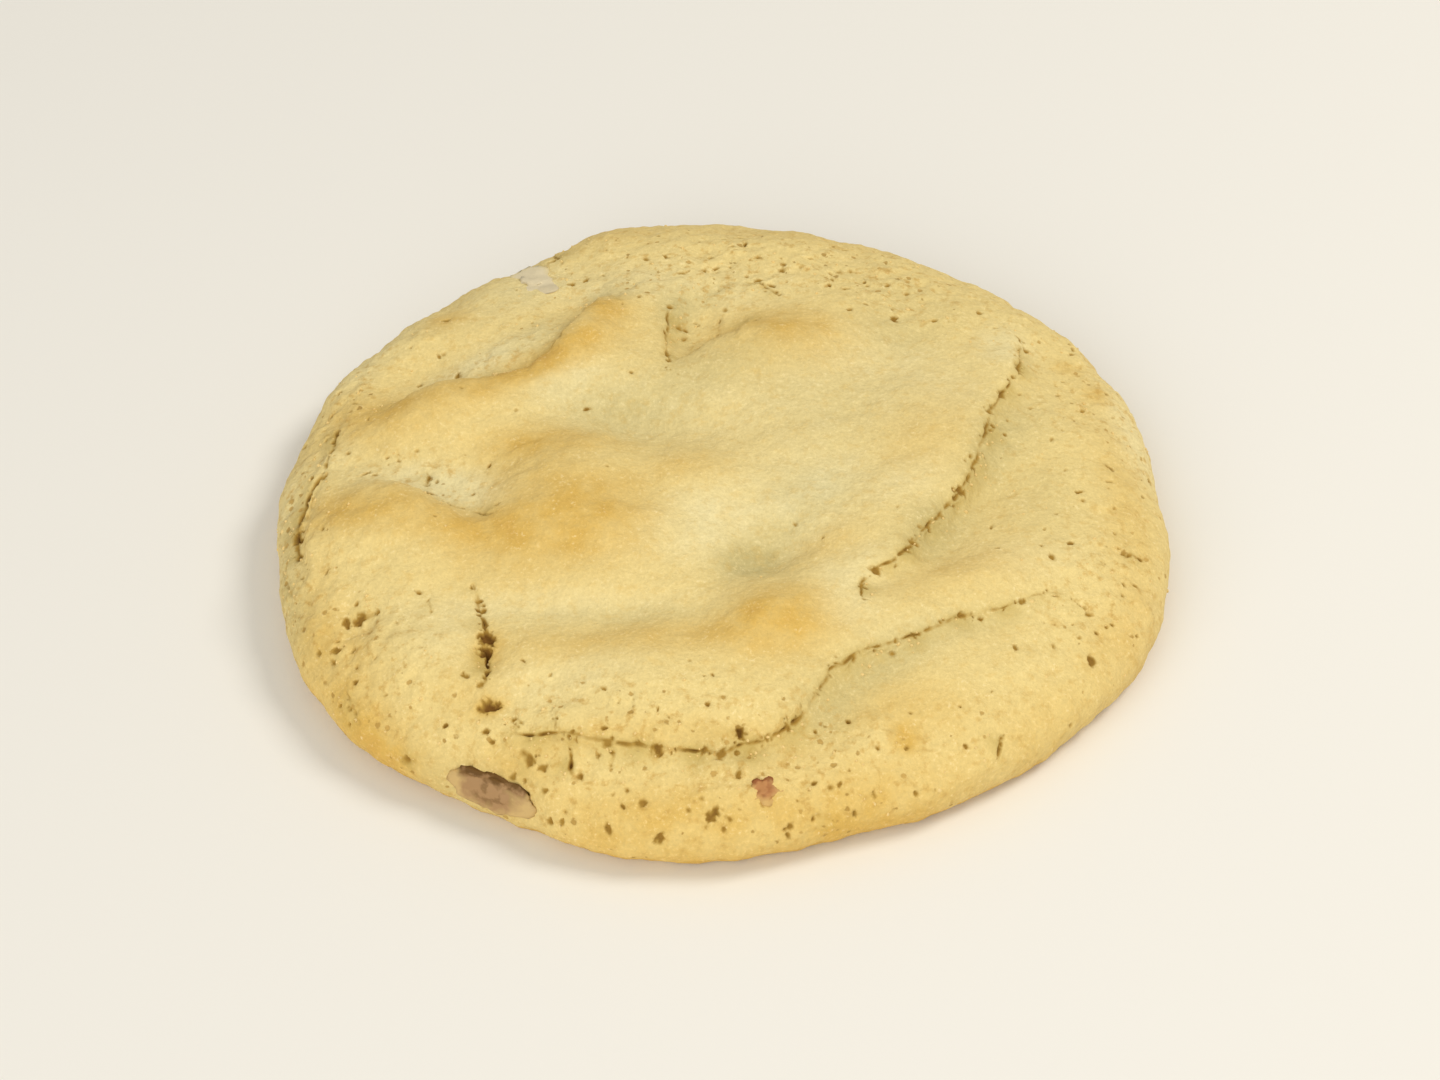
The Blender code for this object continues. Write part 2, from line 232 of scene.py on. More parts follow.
# Pits torn along the slits: their radii, their depths in radii and how far they stray
BEAD_RADII = (0.1, 0.24)
BEAD_DEPTHS = (1.0, 1.9)
BEAD_STRAY = 0.22

# Soft swells that ease the solid's steepest flanks: middle, half length and half width, turn in
# degrees, and height
SWELLS = (
    (-26, -2.8, 5, 3.8, -20, 1.3), (-34, -3.5, 5, 2.6, -15, 0.6), (-22, 19.5, 8, 2.6, 32, 0.9),
    (-13, 30.5, 3, 3, 0, 0.5), (1, -14.5, 6, 3.5, 10, 0.3),
)

# Pits torn by bubbles: place and radius in a crop's pixels. Nearly all places were read off the
# crops, and some radii were changed.
TORN_PITS = {
    "right": (
        (308, 183, 11), (150, 50, 6), (290, 92, 8), (183, 155, 8), (232, 90, 7), (568, 520, 8),
        (575, 462, 8), (614, 403, 11), (492, 668, 12), (478, 735, 6), (440, 733, 6), (375, 768, 6),
        (360, 828, 10), (345, 852, 7), (250, 895, 11), (500, 1018, 10), (665, 982, 8), (622, 482, 6),
        (616, 520, 7), (698, 440, 5), (750, 525, 6), (770, 500, 5), (790, 615, 5), (915, 605, 9),
        (918, 650, 6), (930, 725, 6), (752, 860, 8), (728, 780, 6), (965, 945, 7), (992, 945, 7),
        (862, 1018, 8), (865, 1155, 12), (830, 1090, 6), (650, 1125, 8), (293, 1158, 7), (97, 820, 6),
        (15, 775, 7), (845, 450, 7), (680, 300, 8), (655, 350, 7),
    ),
    "left": (
        (583, 285, 10), (530, 218, 7), (545, 208, 5), (480, 300, 8), (292, 345, 6), (245, 318, 7),
        (418, 508, 6), (380, 525, 5), (465, 485, 6), (505, 625, 10), (610, 495, 4), (205, 570, 8),
        (275, 490, 6), (320, 557, 11), (405, 577, 6), (750, 365, 5), (1075, 255, 7), (1060, 62, 5),
        (905, 12, 9), (942, 5, 10), (640, 925, 9), (655, 965, 10), (672, 1040, 20), (655, 1150, 8),
        (340, 942, 8), (303, 965, 13), (262, 965, 12), (470, 882, 8), (240, 1050, 10), (185, 1060, 7),
        (405, 970, 5), (835, 1115, 6), (600, 1120, 8), (130, 765, 14), (590, 662, 5), (545, 110, 8),
        (588, 300, 5), (344, 559, 8), (667, 1067, 17),
    ),
    "front": (
        (472, 205, 15), (430, 130, 6), (745, 300, 7), (855, 298, 10), (965, 298, 8), (1008, 302, 8),
        (1045, 255, 13), (1105, 268, 6), (1150, 235, 6), (565, 320, 8), (590, 330, 8), (680, 358, 8),
        (600, 385, 6), (562, 412, 7), (608, 455, 8), (785, 385, 6), (820, 415, 8), (985, 440, 11),
        (1040, 350, 7), (860, 495, 9), (745, 480, 8), (1160, 465, 7), (1015, 455, 6), (1250, 385, 6),
        (1350, 400, 6), (118, 100, 6), (525, 355, 6), (925, 95, 4), (978, 128, 5), (930, 435, 6),
        (1080, 365, 5), (755, 400, 4), (640, 455, 6),
    ),
    "top": (
        (440, 255, 9), (470, 320, 7), (480, 348, 7), (510, 300, 5), (470, 170, 7), (430, 118, 8),
        (410, 73, 6), (368, 128, 7), (360, 235, 6), (632, 72, 8), (580, 78, 6), (615, 102, 6),
        (650, 180, 6), (687, 183, 8), (720, 207, 8), (540, 160, 7), (600, 153, 5), (745, 155, 8),
        (790, 153, 5), (880, 185, 6), (975, 250, 6), (925, 210, 8), (437, 415, 8), (437, 395, 7),
        (118, 140, 9),
    ),
}
PIT_SPREAD = 1.15      # the pits' rims slope, so they are made a little wider
PIT_DEPTH = 0.95       # depth of such a pit in radii
PITS_FROM = 3.0        # pits start this high above the base
PITS_FACE_UP = 0.15    # and where the skin faces up at least this much
PIT_STRETCH = (1.0, 1.8)
PIT_STEEP = 1.6
PIT_REACH = 1.3        # how far a ragged pit can spread, in radii
PIT_RAGGED = (0.55, 0.38)    # how uneven a pit's rim is, and over what distance

# Where small pits crowd: middle, half length and half width, turn in degrees, how crowded
PITTED_GROUND = (
    (-30, -1, 7, 4.5, -25, 1.0), (-2, 31, 14, 6, 0, 1.1), (12, 34, 16, 5, -12, 1.0),
    (20, 27, 12, 4, -35, 0.7), (-2, 22, 3, 6, 0, 0.8), (33, 3, 5, 20, -20, 0.35),
    (38, -18, 5, 9, -30, 0.8), (-6, -42, 22, 4, 0, 1.0), (18, -39, 16, 4, 25, 0.5),
    (-36, -24, 5, 10, 30, 1.1), (-41, 12, 3.5, 11, -15, 0.9), (-20, 23, 6, 8, -20, 0.45),
    (-25, 17, 8, 2.5, 20, 0.6), (-16, -36, 8, 3, 0, 0.7), (-5, -35, 14, 3, 0, 0.5),
    (-44, -8, 2.5, 9, 0, 0.9), (41, 12, 4, 11, 20, 0.7), (26, -31, 15, 10, 30, -0.35),
    (-6, -38.3, 18, 2.2, 0, 0.5), (9, -35, 4, 4, 0, 0.4),
)
CROWDED_EVERYWHERE = 0.03
# How crowded the rim is, and where it starts and how far it grows, as shares of the radius
CROWDED_RIM = (0.5, 0.72, 0.2)
SMALL_PITS = 210
SMALL_PIT_RADII = (0.14, 0.3)
SMALL_PIT_DEPTHS = (0.8, 1.6)

GRAINS = ((6.0, 0.16), (2.2, 0.1), (0.9, 0.05))    # spacing and height of the dough's unevenness
CRUMBLY = ((1.7, 0.13), (0.8, 0.09))               # the same, only where pits crowd
SEAM_CRUMBLY = 0.7                                 # how far a seam counts as pitted for this
WANDERS = ((4.0, 0.2), (1.3, 0.2))                 # spacing and size of the cracks' wandering


def to_route(points, route, taper_length=1):
    """For each point: signed distance to a route (left is positive), how far along, its end's taper
    and the way to the left."""
    route = np.array(route, float)
    start, step = route[:-1], np.diff(route, axis=0)
    length = np.hypot(*step.T)
    offset = points[:, None, :2] - start
    share = np.clip((offset * step).sum(-1) / length ** 2, 0, 1)
    distance = np.hypot(*np.moveaxis(offset - share[..., None] * step, -1, 0))
    pick = distance.argmin(1)
    row = np.arange(len(points))
    side = np.sign(step[:, 0] * offset[..., 1] - step[:, 1] * offset[..., 0])[row, pick]
    along = (np.cumsum(length) - length)[pick] + share[row, pick] * length[pick]
    left = np.column_stack([-step[:, 1], step[:, 0]]) / length[:, None]
    taper = np.clip(np.minimum(along, length.sum() - along) / taper_length, 0, 1)
    return side * distance[row, pick], along, taper, left[pick]


def solid_skin(node):
    """The solid's skin in millimetres, as a tree to cast rays at."""
    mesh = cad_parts[node].data
    return bvhtree.BVHTree.FromPolygons([vert.co / MM for vert in mesh.vertices],
                                        [tuple(face.vertices) for face in mesh.polygons])


def read_place(crop, x, y):
    """The place on the solid's skin that shows at a pixel of a crop."""
    crop_left, crop_top, enlarged = CROPS[crop]
    focal = focal_pixels * CLOSER * PICTURE_WIDTH / PHOTO_WIDTH
    across = (crop_left + x / enlarged - PICTURE_WIDTH / 2) / focal
    down = (crop_top + y / enlarged - PICTURE_HEIGHT / 2) / focal
    ray = (aim + right * across - over * down).normalized()
    return skin_tree.ray_cast(Vector(CAMERA_PLACE), ray)[0]


def read_route(crop, *places):
    """A route in plan through places in a crop."""
    return [tuple(read_place(crop, x, y).xy) for x, y in places]


def soft_spot(points, x, y, long, wide, turn=0.0):
    """A soft oval spot of height 1."""
    angle = math.radians(turn)
    dx, dy = points[:, 0] - x, points[:, 1] - y
    along = (dx * math.cos(angle) + dy * math.sin(angle)) / long
    across = (dy * math.cos(angle) - dx * math.sin(angle)) / wide
    return np.exp(-(along ** 2 + across ** 2) ** 1.2)


def uneven(points, spacing, shift=0.0):
    """Smooth noise between about -1 and 1 at each point. Another shift gives another pattern."""
    return np.array([noise.noise(Vector(p) / spacing + Vector((shift, 0, 0))) for p in points]) * 1.6


def varied(points, mean, swing, spacing, least, most, shift=0.0):
    """A value that wavers about its mean, held between its least and most."""
    return np.clip(mean + swing * uneven(points, spacing, shift), least, most)


def inward(points):
    """0 at the rim and outside it, 1 from RIM_FADE inward."""
    return np.clip((1 - np.hypot(points[:, 0], points[:, 1]) / DOME_RADIUS) / RIM_FADE, 0, 1)


def crowding(points):
    """How crowded small pits are at each point."""
    rim, starts, grows = CROWDED_RIM
    radius_share = np.hypot(points[:, 0], points[:, 1]) / DOME_RADIUS
    crowded = CROWDED_EVERYWHERE + rim * np.clip((radius_share - starts) / grows, 0, 1)
    for *ground, strength in PITTED_GROUND:
        crowded += strength * soft_spot(points, *ground)
    return np.maximum(crowded, 0)


def tree_of(points):
    """A tree that finds the points near a place."""
    tree = kdtree.KDTree(len(points))
    for i, place in enumerate(points):
        tree.insert(place, i)
    tree.balance()
    return tree


def corners_of(mesh):
    """A mesh's corners in millimetres."""
    flat = np.empty(len(mesh.vertices) * 3, np.float32)
    mesh.vertices.foreach_get("co", flat)
    return flat.reshape(-1, 3).astype(float) / MM


def normals_of(mesh):
    """A mesh's corner normals."""
    flat = np.empty(len(mesh.vertices) * 3, np.float32)
    mesh.vertex_normals.foreach_get("vector", flat)
    return flat.reshape(-1, 3).astype(float)


def place_corners(mesh, points):
    """Write corners given in millimetres back to a mesh."""
    mesh.vertices.foreach_set("co", (points * MM).astype(np.float32).ravel())
    mesh.update()


def fine_copy(node, name):
    """The solid's skin without its flat underside, as one joined mesh cut finer."""
    bm = bmesh.new()
    bm.from_mesh(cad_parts[node].data)
    bmesh.ops.remove_doubles(bm, verts=bm.verts, dist=0.01 * MM)
    flat = [face for face in bm.faces if max(vert.co.z for vert in face.verts) < 0.01 * MM]
    bmesh.ops.delete(bm, geom=flat, context="FACES")
    for _ in range(FINE_CUTS):
        bmesh.ops.subdivide_edges(bm, edges=bm.edges, cuts=1, use_grid_fill=True)
    bmesh.ops.triangulate(bm, faces=[face for face in bm.faces if len(face.verts) > 3])
    mesh = bpy.data.meshes.new(name)
    bm.to_mesh(mesh)
    bm.free()
    mesh.shade_smooth()
    return mesh


def close_grooves(mesh):
    """Fill most of the solid's wide grooves, steepen the steps beside them and add the soft swells."""
    points = corners_of(mesh)
    raised = points[:, 2] > RELIEF_FROM
    points[:, :2] += inward(points)[:, None] * SKIN_SHIFT * raised[:, None]
    for crack in CRACKS.values():
        depth, width = crack["groove"]
        distance, _, taper, left = to_route(points, crack["route"], GROOVE_TAPER)
        filled = depth * GROOVE_CLOSED * taper * np.clip(1 - np.abs(distance) / width, 0, 1)
        high = np.exp(-((distance - width) / width) ** 2) * crack["lean"]
        points[:, 2] += filled * raised
        points[:, :2] += left * (-high * taper * raised)[:, None]
    for *spot, rise in SWELLS:
        points[:, 2] += rise * soft_spot(points, *spot) * raised
    place_corners(mesh, points)


def smooth_facets(mesh):
    """Round off the solid's facets, but leave the steps at the cracks and the open foot."""
    points = corners_of(mesh)
    ends = np.empty(len(mesh.edges) * 2, np.int32)
    mesh.edges.foreach_get("vertices", ends)
    ends = ends.reshape(-1, 2)
    degree = np.bincount(ends.ravel(), minlength=len(points))
    softness = np.where(points[:, 2] < FOOT_HEIGHT, 0.0, SMOOTHING)
    for crack in CRACKS.values():
        distance, _, _, _ = to_route(points, crack["route"])
        kept = np.where(distance > 0, distance / CRISP_REACH[0], -distance / CRISP_REACH[1]) ** 2
        softness = np.minimum(softness, np.clip(kept, 1 - crack["crisp"], 1) * SMOOTHING)
    for _ in range(SMOOTHING_ROUNDS):
        total = np.zeros_like(points)
        for axis in range(3):
            total[:, axis] = (np.bincount(ends[:, 0], points[ends[:, 1], axis], len(points))
                              + np.bincount(ends[:, 1], points[ends[:, 0], axis], len(points)))
        points += softness[:, None] * (total / degree[:, None] - points)
    place_corners(mesh, points)


def pit_list(points, top, crowd):
    """Middle, radius and depth of every pit: those placed in the crops, those torn along the cracks,
    and small ones strewn where they crowd."""
    draw = random.Random(SEED)
    plan = tree_of([(x, y, 0 if on_top else 99) for (x, y, _), on_top in zip(points, top)])
    places = []
    for crop, readings in TORN_PITS.items():
        for x, y, size in readings:
            place = read_place(crop, x, y)
            radius = size / (CROPS[crop][2] * PIXELS_PER_MM)
            places.append((place.x, place.y, radius * PIT_SPREAD, radius * PIT_DEPTH))
    for route, _, _, pits_per_mm in LINES:
        route = np.array(route, float)
        length = np.hypot(*np.diff(route, axis=0).T)
        for _ in range(round(length.sum() * pits_per_mm)):
            way = draw.uniform(0, length.sum())
            stretch = int(np.searchsorted(np.cumsum(length), way))
            share = (way - (np.cumsum(length) - length)[stretch]) / length[stretch]
            x, y = route[stretch] + share * (route[stretch + 1] - route[stretch])
            radius = draw.uniform(*BEAD_RADII)
            places.append((x + draw.gauss(0, BEAD_STRAY), y + draw.gauss(0, BEAD_STRAY), radius,
                           radius * draw.uniform(*BEAD_DEPTHS)))
    pits = [(points[plan.find((x, y, 0))[1]], radius, depth) for x, y, radius, depth in places]
    weights = np.cumsum(crowd * top)
    for _ in range(SMALL_PITS):
        spot = int(np.searchsorted(weights, draw.random() * weights[-1]))
        radius = draw.uniform(*SMALL_PIT_RADII)
        pits.append((points[spot], radius, radius * draw.uniform(*SMALL_PIT_DEPTHS)))
    return pits


def cut_finer(mesh, pits):
    """Cut the faces at cracks and pits once more, and close the foot with a flat net."""
    bm = bmesh.new()
    bm.from_mesh(mesh)
    middles = np.array([face.calc_center_median()[:] for face in bm.faces]) / MM
    near = np.zeros(len(middles), bool)
    for route, _, _, _ in LINES:
        distance, _, _, _ = to_route(middles, route)
        near |= (np.abs(distance) < FINE_BESIDE_SLITS) & (middles[:, 2] > RELIEF_FROM)
    tree = tree_of(middles)
    for middle, radius, _ in pits:
        for _, i, _ in tree.find_range(middle, radius + FINE_ROUND_PITS):
            near[i] = True
    edges = set()
    for face, is_near in zip(bm.faces, near):
        if is_near:
            edges.update(face.edges)
    bmesh.ops.subdivide_edges(bm, edges=list(edges), cuts=1, use_grid_fill=True)
    bmesh.ops.triangulate(bm, faces=[face for face in bm.faces if len(face.verts) > 3])

    rim = [vert for vert in bm.verts if vert.is_boundary]
    rim.sort(key=lambda vert: math.atan2(vert.co.y, vert.co.x))
    ring = np.array([vert.co[:2] for vert in rim]) / MM
    count = math.ceil(ring.max() / BASE_LATTICE * NET_MARGIN)
    x, y = np.meshgrid(np.arange(-count, count + 1), np.arange(-count, count + 1))
    net = np.column_stack([(x + 0.5 * (y % 2)).ravel(), (y * math.sqrt(3) / 2).ravel()]) * BASE_LATTICE
    reach = np.interp(np.arctan2(net[:, 1], net[:, 0]), np.arctan2(ring[:, 1], ring[:, 0]),
                      np.hypot(*ring.T), period=2 * math.pi)
    net = net[np.hypot(*net.T) < reach - BASE_LATTICE / 2]
    flat = [Vector(place) for place in np.concatenate([ring, net])]
    ring_edges = [(i, (i + 1) % len(rim)) for i in range(len(rim))]
    placed, _, faces, came_from, _, _ = geometry.delaunay_2d_cdt(flat, ring_edges, [], 1, 1e-6)
    corners = [rim[old[0]] if old and old[0] < len(rim) else bm.verts.new((p.x * MM, p.y * MM, 0))
               for p, old in zip(placed, came_from)]
    for face in faces:
        bm.faces.new([corners[i] for i in reversed(face)])
    bmesh.ops.recalc_face_normals(bm, faces=bm.faces)
    bm.to_mesh(mesh)
    bm.free()
    mesh.shade_smooth()


def slits(points, top):
    """How deep the slits are at each corner, and how strong the painted shade of the seams beside them.
    """
    depth = np.zeros(len(points))
    seam_shade = np.zeros(len(points))
    for number, (route, width, deep, _) in enumerate(LINES):
        distance, along, taper, _ = to_route(points, route, END_TAPER)
        gap = np.abs(distance)
        reach = np.flatnonzero((gap < SLIT_REACH) & top)
        place = np.column_stack([along[reach], np.full((len(reach), 2), SLIT_APART * number)])
        opened = varied(place, *OPENED) * taper[reach]
        beaded = varied(place, *BEADED, shift=90)
        half = width * varied(place, *WIDENED, shift=50) + SLIT_ROUNDING
        cut = deep * opened * beaded * np.clip(SLIT_FLOOR - gap[reach] / half, 0, 1)
        depth[reach] = np.maximum(depth[reach], cut)
        shade = np.exp(-(gap[reach] / np.where(distance[reach] < 0, *SEAM_REACH)) ** 2)
        seam_shade[reach] = np.maximum(seam_shade[reach], shade * opened * min(1, deep / SEAM_DEPTH))
    return depth, seam_shade


def pit_depth(points, pits):
    """How deep the pits are at each corner. Each is an uneven oval with steep sides."""
    draw = random.Random(SEED + 1)
    tree = tree_of(points)
    ragged, ragged_spacing = PIT_RAGGED
    depth = np.zeros(len(points))
    for middle, radius, deep in pits:
        turn = draw.uniform(0, math.pi)
        stretch = draw.uniform(*PIT_STRETCH)
        for place, i, _ in tree.find_range(middle, radius * stretch * PIT_REACH):
            away = points[i] - middle
            along = away[0] * math.cos(turn) + away[1] * math.sin(turn)
            across = away[1] * math.cos(turn) - away[0] * math.sin(turn)
            share = math.hypot(along / stretch, across, away[2] * 0.5) / radius
            share += ragged * noise.noise(place / ragged_spacing)
            depth[i] = max(depth[i], deep * min(1.0, max(0.0, PIT_STEEP - share * PIT_STEEP)))
    return depth


skin_tree = solid_skin("cookie")
# Every slit's route in plan, half width, depth and pits per millimetre
LINES = [(read_route(*crack["line"]) if "line" in crack else crack["route"],
          crack["slit"], crack["depth"], crack["pits"]) for crack in CRACKS.values()]
LINES += [(read_route(*reading), *sizes) for reading, *sizes in TEARS.values()]
crust_mesh = fine_copy("cookie", "baked_dough")
close_grooves(crust_mesh)
smooth_facets(crust_mesh)
coarse = corners_of(crust_mesh)
can_be_pitted = (coarse[:, 2] > PITS_FROM) & (normals_of(crust_mesh)[:, 2] > PITS_FACE_UP)
all_pits = pit_list(coarse, can_be_pitted, crowding(coarse))
cut_finer(crust_mesh, all_pits)

base_points = corners_of(crust_mesh)
base_normals = normals_of(crust_mesh)
is_top = (base_points[:, 2] > RELIEF_FROM) & (base_normals[:, 2] > CUTS_FACE_UP)
slit_depth, seam_shade = slits(base_points, is_top)
cut_depth = np.maximum(slit_depth, pit_depth(base_points, all_pits) * is_top)
height = -cut_depth
for spacing, size in GRAINS:
    height += size * uneven(base_points, spacing, shift=spacing * 9)
crowded = crowding(base_points)
crumbly = np.clip(crowded + SEAM_CRUMBLY * seam_shade, 0, 1.2) * np.clip(base_normals[:, 2] * 1.6, 0.3, 1)
for spacing, size in CRUMBLY:
    height += size * crumbly * uneven(base_points, spacing, shift=spacing * 5)
height = np.where(base_points[:, 2] > GRAIN_FROM, height, 0)
moved = base_points + base_normals * height[:, None]
fade = inward(base_points) * is_top
for number, (spacing, size) in enumerate(WANDERS):
    for axis in (0, 1):
        moved[:, axis] += fade * size * uneven(base_points, spacing, shift=31 + 17 * axis + 5 * number)
moved = np.clip(moved, np.array(cad_box[0]) / MM, np.array(cad_box[1]) / MM)
place_corners(crust_mesh, moved)
crust = new_object("baked_dough", crust_mesh)

# Browning of the crust, and painted shade
# Crests, the bottom edge and thin places brown first in the oven. High smooth dough stays cream.
# Hollows and valleys are olive: partly the moist dough's own cast, partly painted shade. Each spot:
# middle, half length and half width, turn in degrees, and how strong.
GOLDEN = (
    (-19, -2, 5.5, 5, 0, 0.45), (-13, -13.5, 6, 3.5, 0, 0.3), (-16, -9, 7, 5, 0, 0.45),
    (-11, -8, 5, 4.5, 0, 0.5), (-16, 2, 6.5, 2.4, -5, 0.55), (-23.5, -10.5, 4.5, 3.6, 0, 0.6),
    (-20, -14, 8, 5, 0, 0.4), (-37, -6.3, 8, 3.6, -12, 0.8), (-29, -9.5, 5, 3, -10, 0.4),
    (-34, 9.5, 8, 4.5, 12, 0.75), (-39.5, 13.5, 3, 3, 0, 0.3), (-24, 12.5, 5, 2.4, 20, 0.45),
    (-18, 15.6, 8, 2.8, 32, 1.1), (-12, 24, 3.4, 3.2, 30, 0.9), (7.5, 21, 8, 3.4, -6, 0.5),
    (6.5, 17, 8, 4, 0, 0.5), (5.6, -25.5, 5.6, 4.6, 15, 0.95), (-4, -27, 9, 2.8, 0, 0.5),
    (-17, -27.5, 7, 2.2, 0, 0.3), (-4, -2.5, 5, 2.6, 10, 0.4), (-21, 4, 5, 2.4, 10, 0.35),
    (24, -18.5, 8, 3, 22, 0.35), (12, -44, 14, 3, 12, 0.55), (-8, -45.5, 10, 3, -3, 0.65),
    (-20, -39.5, 5, 2.4, -25, 0.5), (-33, -36, 7, 2.6, -38, 0.85), (-39, -24, 7, 4, -60, 0.5),
    (-37, -31, 5, 3, -45, 0.5), (-25, -32, 4, 3, 0, 0.35), (-10, -38.5, 9, 1.4, -2, 0.35),
    (1, -40, 7, 2, 0, 0.5), (13, -35.5, 7, 2.6, 20, 0.4), (-42, -17, 3, 6, 0, 0.3),
    (40, -24, 8, 3, 55, 0.4), (42, -9, 3, 12, 0, 0.35), (41, 6, 3, 12, 10, 0.15),
    (-12, 42, 8, 3, 0, 0.3), (10, 41, 14, 3, -10, 0.2), (17.3, -38.3, 1.8, 1.5, 0, 0.8),
    (21, -35.5, 5, 3, 0, 0.35), (31, -35, 5, 3, 40, 0.35), (12, -46, 8, 2, 10, 0.3),
    (-29, 26.8, 2.6, 2, 30, 0.6), (38.3, 17.6, 1.7, 1.4, 0, 0.5), (41, 12.8, 1.4, 2.0, 0, 0.6),
    (-23.4, -26, 1.6, 2.6, 0, 0.8), (-23.3, -33.6, 1.5, 1.1, 0, 0.9), (22, 2, 5, 7, -20, 0.3),
    (11, -14, 4, 2.5, 30, 0.3),
)
CREAM = (
    (-1.7, -8, 5, 3.6, 20, 0.45), (2, -12.5, 10, 4, 8, 0.6), (8, -8, 5, 4, 0, 0.3),
    (31.5, 18.8, 3, 4, 0, 0.7), (9, -4, 8, 5, 10, 0.4), (24, 10, 6, 7, -15, 0.25),
    (20, -5.5, 3, 5, -50, 0.45), (-16.5, 12.5, 4, 2.5, 20, 0.6), (-31, -1, 6, 3, -15, 0.8),
    (-25.5, -3.5, 4.5, 3, -30, 0.8), (-40.4, 5, 3, 3, 0, 0.4), (-16, -31.5, 8, 3, 0, 0.35),
    (-28, -25, 4, 3, 0, 0.3), (11.4, -5, 5, 3, 30, 0.3), (13, -19, 4.5, 3.4, 30, 0.6),
    (12.5, -24, 3, 2.6, 0, 0.5), (-7.2, 31, 5, 4, 0, 0.4), (30, -16, 7, 3, 20, 0.3),
    (8, 9, 14, 9, 0, 0.35), (-10, 9.5, 9, 4, -10, 0.6), (2, 28, 7, 4, 0, 0.35),
    (16, 17, 8, 5, 0, 0.35), (-20, 31.5, 7, 4, 30, 0.5), (-24, 18.5, 8, 2.6, 30, 0.7),
    (-12.5, 29, 3, 2.5, 0, 0.4), (-18, -21, 14, 2.5, -3, 0.5), (18, -27.5, 6, 2, 22, 0.4),
    (44, 7, 2.5, 9, 10, 0.7), (44, -22, 3, 8, -25, 0.4), (-45.5, -4, 2, 8, 0, 0.6),
    (-38, 22, 3, 8, -35, 0.4),
)
OLIVE_AND_SHADE = (
    (2.6, -15.6, 3.8, 2.4, 10, 0.95), (4.5, -12.5, 4.5, 2.6, 30, 0.6),
    (21.8, -11.4, 6, 2.6, 50, 0.9), (28.7, 1, 2.6, 7, -20, 0.75), (33.5, 6, 2.5, 5, -15, 0.3),
    (-4.2, 24.6, 2.2, 4.5, 0, 0.7), (-1, 27.5, 4, 2, 35, 0.4), (-10, 9, 8, 3.5, -10, 0.65),
    (-3, 13, 5, 3.5, 0, 0.4), (9.5, -6, 5, 5, 20, 0.35), (12, 8, 9, 8, 0, 0.25),
    (3.3, 15.4, 6, 4, 0, 0.35), (19.8, 20.6, 5, 4, 0, 0.45), (15.5, -29.8, 6, 2.4, 30, 0.7),
    (10, -35.6, 4, 2.5, 40, 0.7), (0, -40.5, 6, 1.4, 5, 0.5), (25, -24.6, 6, 1.6, 22, 0.5),
    (-20, 20, 2.2, 7, -38, 0.3), (-9.5, -22.6, 11, 1.4, -4, 0.3), (-20.5, 30.5, 5, 2.5, 40, 0.25),
    (33, -6, 4, 6, 0, 0.25), (-44.8, -6, 1.6, 8, 0, 0.3), (22, 28, 8, 3, -30, 0.2),
    (-11, 29, 3, 2, 20, 0.3), (-29, -38, 4, 1.6, -32, 0.35), (-23.5, -41.8, 6, 2, -35, 0.5),
    (-44, -16, 2, 5, 10, 0.4),
)
EDGE_BROWN = 0.15
FOOT_BROWN = 0.25
BASE_BROWN = 1.1       # the underside, which lay on the baking tray
BROWN_FOOT_HEIGHT = 2.2
DARKEST_CUT = 0.7      # a cut this deep has its full shade


def field(points, spots):
    """The sum of soft spots at each corner."""
    total = np.zeros(len(points))
    for *spot, strength in spots:
        total += strength * soft_spot(points, *spot)
    return total


def write_layer(mesh, name, values):
    """Keep one value for each corner of a mesh, for its material to read."""
    layer = mesh.attributes.new(name, "FLOAT", "POINT")
    layer.data.foreach_set("value", np.asarray(values).astype(np.float32))


steep = np.clip(1 - base_normals[:, 2], 0, 1) * (base_points[:, 2] > FOOT_HEIGHT)
near_foot = np.clip(1 - base_points[:, 2] / BROWN_FOOT_HEIGHT, 0, 1)
browned = field(base_points, GOLDEN) + EDGE_BROWN * steep + FOOT_BROWN * near_foot
underside = base_normals[:, 2] < -0.5
for name, values in (("browned", np.where(underside, BASE_BROWN, browned)),
                     ("cream", np.where(underside, 0, field(base_points, CREAM))),
                     ("olive_and_shade", np.where(underside, 0, field(base_points, OLIVE_AND_SHADE))),
                     ("cut", cut_depth / DARKEST_CUT), ("pitted", crowded), ("seam_shade", seam_shade)):
    write_layer(crust_mesh, name, np.clip(values, 0, 1.2))


def linear(colour):
    """An sRGB hex colour as linear values."""
    parts = [int(colour[i:i + 2], 16) / 255 for i in (1, 3, 5)]
    return [*(p / 12.92 if p <= 0.04045 else ((p + 0.055) / 1.055) ** 2.4 for p in parts), 1.0]


def add(tree, kind, inputs=None, **settings):
    """Add a node. Inputs are values, or another node's output to link."""
    made = tree.nodes.new(kind)
    for name, value in settings.items():
        setattr(made, name, value)
    for socket, value in (inputs or {}).items():
        if isinstance(value, bpy.types.NodeSocket):
            tree.links.new(value, made.inputs[socket])
        else:
            made.inputs[socket].default_value = value
    return made


def new_material(name, roughness):
    """A material with an empty tree but its shader: the shader and the tree."""
    material = bpy.data.materials.new(name)
    material.use_nodes = True
    shader = material.node_tree.nodes["Principled BSDF"]
    shader.inputs["Roughness"].default_value = roughness
    shader.inputs["Metallic"].default_value = 0.0
    shader.inputs["Specular IOR Level"].default_value = 0.25
    return material, material.node_tree, shader


def mixed(tree, factor, first, second, blend="MIX"):
    """The output of two colours mixed by a factor."""
    made = add(tree, "ShaderNodeMix", {0: factor, 6: first, 7: second},
               data_type="RGBA", blend_type=blend)
    return made.outputs[2]


